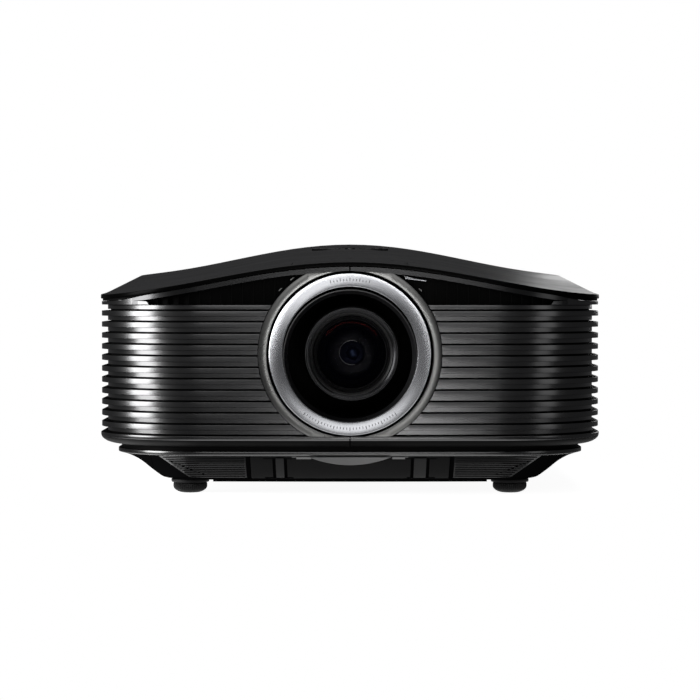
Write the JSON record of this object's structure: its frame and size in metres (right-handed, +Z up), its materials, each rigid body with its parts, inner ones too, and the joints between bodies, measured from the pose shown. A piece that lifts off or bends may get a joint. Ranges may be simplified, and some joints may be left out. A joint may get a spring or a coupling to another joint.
{
  "type": "home cinema projector",
  "caption": "Free-standing home cinema projector with a finned casing, a waved top cover, a shifting zoom lens in a silver ring, screw feet and rear connectors.",
  "frame": {"origin": "on the supporting surface, under the middle of the overall box", "axes": "+Z up, +Y to the rear, so the lens looks along -Y; +X is to the right as seen from in front of the lens looking along +Y"},
  "size_m": [0.384, 0.493, 0.1974],
  "materials": {
    "cover": "fine matte texture with a gloss edge",
    "fins": "satin metallic black",
    "gloss_black": "gloss",
    "matte_black": "matte",
    "silver": "fine brushed, satin",
    "lens_black": "satin black anodised",
    "lens_glass": "coated, polished",
    "rubber": "soft matte",
    "steel": "satin",
    "aluminium": "cast",
    "board": "solder mask",
    "ceramic": "glazed",
    "mirror": "polished",
    "smoked": "smoked, polished"
  },
  "bodies": {
    "root": {"right_fin_shell": "fins", "left_fin_shell": "fins", "top_cover": "cover", "right_intake_screen": "matte_black", "left_intake_screen": "matte_black", "control_panel": "gloss_black", "status_window": "smoked", "bottom_case": "gloss_black", "front_lower_panel": "gloss_black", "right_lower_grille": "matte_black", "left_lower_grille": "matte_black", "lens_bezel_ring": "silver", "lens_tunnel": "matte_black", "lens_chin": "fins", "shift_base": "matte_black", "dial_bracket": "steel", "light_engine_housing": "aluminium", "imaging_board": "board", "chip_heatsink": "aluminium", "colour_wheel_motor": "steel", "lamp_housing": "matte_black", "lamp_reflector": "mirror", "lamp_burner": "ceramic", "lamp_door": "matte_black", "main_board": "board", "power_supply": "aluminium", "exhaust_fan_frame": "matte_black", "intake_fan_frame": "matte_black", "rear_panel": "matte_black", "ac_inlet": "gloss_black", "connector_bank": "steel", "left_rear_foot": "rubber", "right_rear_foot": "rubber"},
    "shift_lid": {"lens_shift_lid": "cover"},
    "rocker": {"power_rocker": "matte_black"},
    "left_stud": {"left_foot_stud": "matte_black"},
    "right_stud": {"right_foot_stud": "matte_black"},
    "left_knob": {"left_foot_knob": "rubber"},
    "right_knob": {"right_foot_knob": "rubber"},
    "vertical_stage": {"vertical_carriage": "lens_black"},
    "lens_stage": {"horizontal_carriage": "lens_black", "lens_barrel": "lens_black"},
    "focus": {"focus_ring": "lens_black"},
    "focus_cell": {"front_lens_cell": "lens_black", "front_element": "lens_glass"},
    "zoom": {"zoom_ring": "rubber"},
    "zoom_cell": {"zoom_lens_group": "lens_glass"},
    "vertical_dial": {"vertical_shift_dial": "rubber"},
    "horizontal_dial": {"horizontal_shift_dial": "rubber"},
    "wheel": {"colour_wheel": "lens_glass"},
    "exhaust_rotor": {"exhaust_fan_rotor": "matte_black"},
    "intake_rotor": {"intake_fan_rotor": "matte_black"},
    "enter_key": {"enter_button": "fins"},
    "up_key": {"up_button": "fins"},
    "left_key": {"left_button": "fins"},
    "down_key": {"down_button": "fins"},
    "right_key": {"right_button": "fins"},
    "power_key": {"power_button": "fins"},
    "menu_key": {"menu_button": "fins"},
    "source_key": {"source_button": "fins"}
  },
  "joints": [
    {"name": "lid_hinge", "type": "hinge", "parent": "root", "child": "shift_lid", "pos_m": [0, -0.073, 0.1784], "axis": [-1, 0, 0], "range_deg": [0, 100]},
    {"name": "rocker_tilt", "type": "hinge", "parent": "root", "child": "rocker", "pos_m": [-0.09, 0.2407, 0.066], "axis": [-1, 0, 0], "range_deg": [0, 16]},
    {"name": "left_foot_screw", "type": "slide", "parent": "root", "child": "left_stud", "axis": [0, 0, -1], "range_m": [0, 0.01]},
    {"name": "right_foot_screw", "type": "slide", "parent": "root", "child": "right_stud", "axis": [0, 0, -1], "range_m": [0, 0.01]},
    {"name": "left_knob_turn", "type": "hinge", "parent": "left_stud", "child": "left_knob", "pos_m": [-0.1226, -0.175, 0.004], "axis": [0, 0, -1], "range_deg": [0, 1800.01]},
    {"name": "right_knob_turn", "type": "hinge", "parent": "right_stud", "child": "right_knob", "pos_m": [0.1226, -0.175, 0.004], "axis": [0, 0, -1], "range_deg": [0, 1800.01]},
    {"name": "vertical_shift", "type": "slide", "parent": "root", "child": "vertical_stage", "axis": [0, 0, 1], "range_m": [-0.007, 0.007]},
    {"name": "horizontal_shift", "type": "slide", "parent": "vertical_stage", "child": "lens_stage", "axis": [1, 0, 0], "range_m": [-0.004, 0.004]},
    {"name": "vertical_dial_turn", "type": "hinge", "parent": "root", "child": "vertical_dial", "pos_m": [-0.024, -0.1, 0.161], "axis": [0, 0, 1], "range_deg": [-540.01, 540.01]},
    {"name": "horizontal_dial_turn", "type": "hinge", "parent": "root", "child": "horizontal_dial", "pos_m": [0.024, -0.1, 0.161], "axis": [0, 0, 1], "range_deg": [-360.01, 360.01]},
    {"name": "focus_turn", "type": "hinge", "parent": "lens_stage", "child": "focus", "pos_m": [0.0012, 0, 0.1074], "axis": [0, -1, 0], "range_deg": [-60.01, 60.01]},
    {"name": "focus_travel", "type": "slide", "parent": "lens_stage", "child": "focus_cell", "axis": [0, -1, 0], "range_m": [-0.0025, 0.0025]},
    {"name": "zoom_turn", "type": "hinge", "parent": "lens_stage", "child": "zoom", "pos_m": [0.0012, 0, 0.1074], "axis": [0, -1, 0], "range_deg": [-30.01, 30.01]},
    {"name": "zoom_travel", "type": "slide", "parent": "lens_stage", "child": "zoom_cell", "axis": [0, -1, 0], "range_m": [-0.01, 0.01]},
    {"name": "wheel_spin", "type": "hinge", "parent": "root", "child": "wheel", "pos_m": [0.07, -0.046, 0.096], "axis": [1, 0, 0], "continuous": true},
    {"name": "exhaust_fan_spin", "type": "hinge", "parent": "root", "child": "exhaust_rotor", "pos_m": [0.096, 0.215, 0.102], "axis": [0, 1, 0], "continuous": true},
    {"name": "intake_fan_spin", "type": "hinge", "parent": "root", "child": "intake_rotor", "pos_m": [-0.1, -0.18, 0.098], "axis": [0, 1, 0], "continuous": true},
    {"name": "enter_press", "type": "slide", "parent": "root", "child": "enter_key", "axis": [0, 0.0539, -0.9985], "range_m": [0, 0.0008], "stiffness_N_per_m": 400, "springref_m": -0.001},
    {"name": "up_press", "type": "slide", "parent": "root", "child": "up_key", "axis": [0, 0.0539, -0.9985], "range_m": [0, 0.0008], "stiffness_N_per_m": 400, "springref_m": -0.001},
    {"name": "left_press", "type": "slide", "parent": "root", "child": "left_key", "axis": [0, 0.0539, -0.9985], "range_m": [0, 0.0008], "stiffness_N_per_m": 400, "springref_m": -0.001},
    {"name": "down_press", "type": "slide", "parent": "root", "child": "down_key", "axis": [0, 0.0539, -0.9985], "range_m": [0, 0.0008], "stiffness_N_per_m": 400, "springref_m": -0.001},
    {"name": "right_press", "type": "slide", "parent": "root", "child": "right_key", "axis": [0, 0.0539, -0.9985], "range_m": [0, 0.0008], "stiffness_N_per_m": 400, "springref_m": -0.001},
    {"name": "power_press", "type": "slide", "parent": "root", "child": "power_key", "axis": [0, 0.0539, -0.9985], "range_m": [0, 0.0008], "stiffness_N_per_m": 400, "springref_m": -0.001},
    {"name": "menu_press", "type": "slide", "parent": "root", "child": "menu_key", "axis": [0, 0.0539, -0.9985], "range_m": [0, 0.0008], "stiffness_N_per_m": 400, "springref_m": -0.001},
    {"name": "source_press", "type": "slide", "parent": "root", "child": "source_key", "axis": [0, 0.0539, -0.9985], "range_m": [0, 0.0008], "stiffness_N_per_m": 400, "springref_m": -0.001}
  ],
  "couplings": [
    {"joint": "left_knob_turn", "follows": "left_foot_screw", "rad_per_m": 3141.6},
    {"joint": "right_knob_turn", "follows": "right_foot_screw", "rad_per_m": 3141.6},
    {"joint": "vertical_dial_turn", "follows": "vertical_shift", "rad_per_m": 1346.4},
    {"joint": "horizontal_dial_turn", "follows": "horizontal_shift", "rad_per_m": 1570.8},
    {"joint": "focus_turn", "follows": "focus_travel", "rad_per_m": 418.88},
    {"joint": "zoom_turn", "follows": "zoom_travel", "rad_per_m": 52.36}
  ]
}
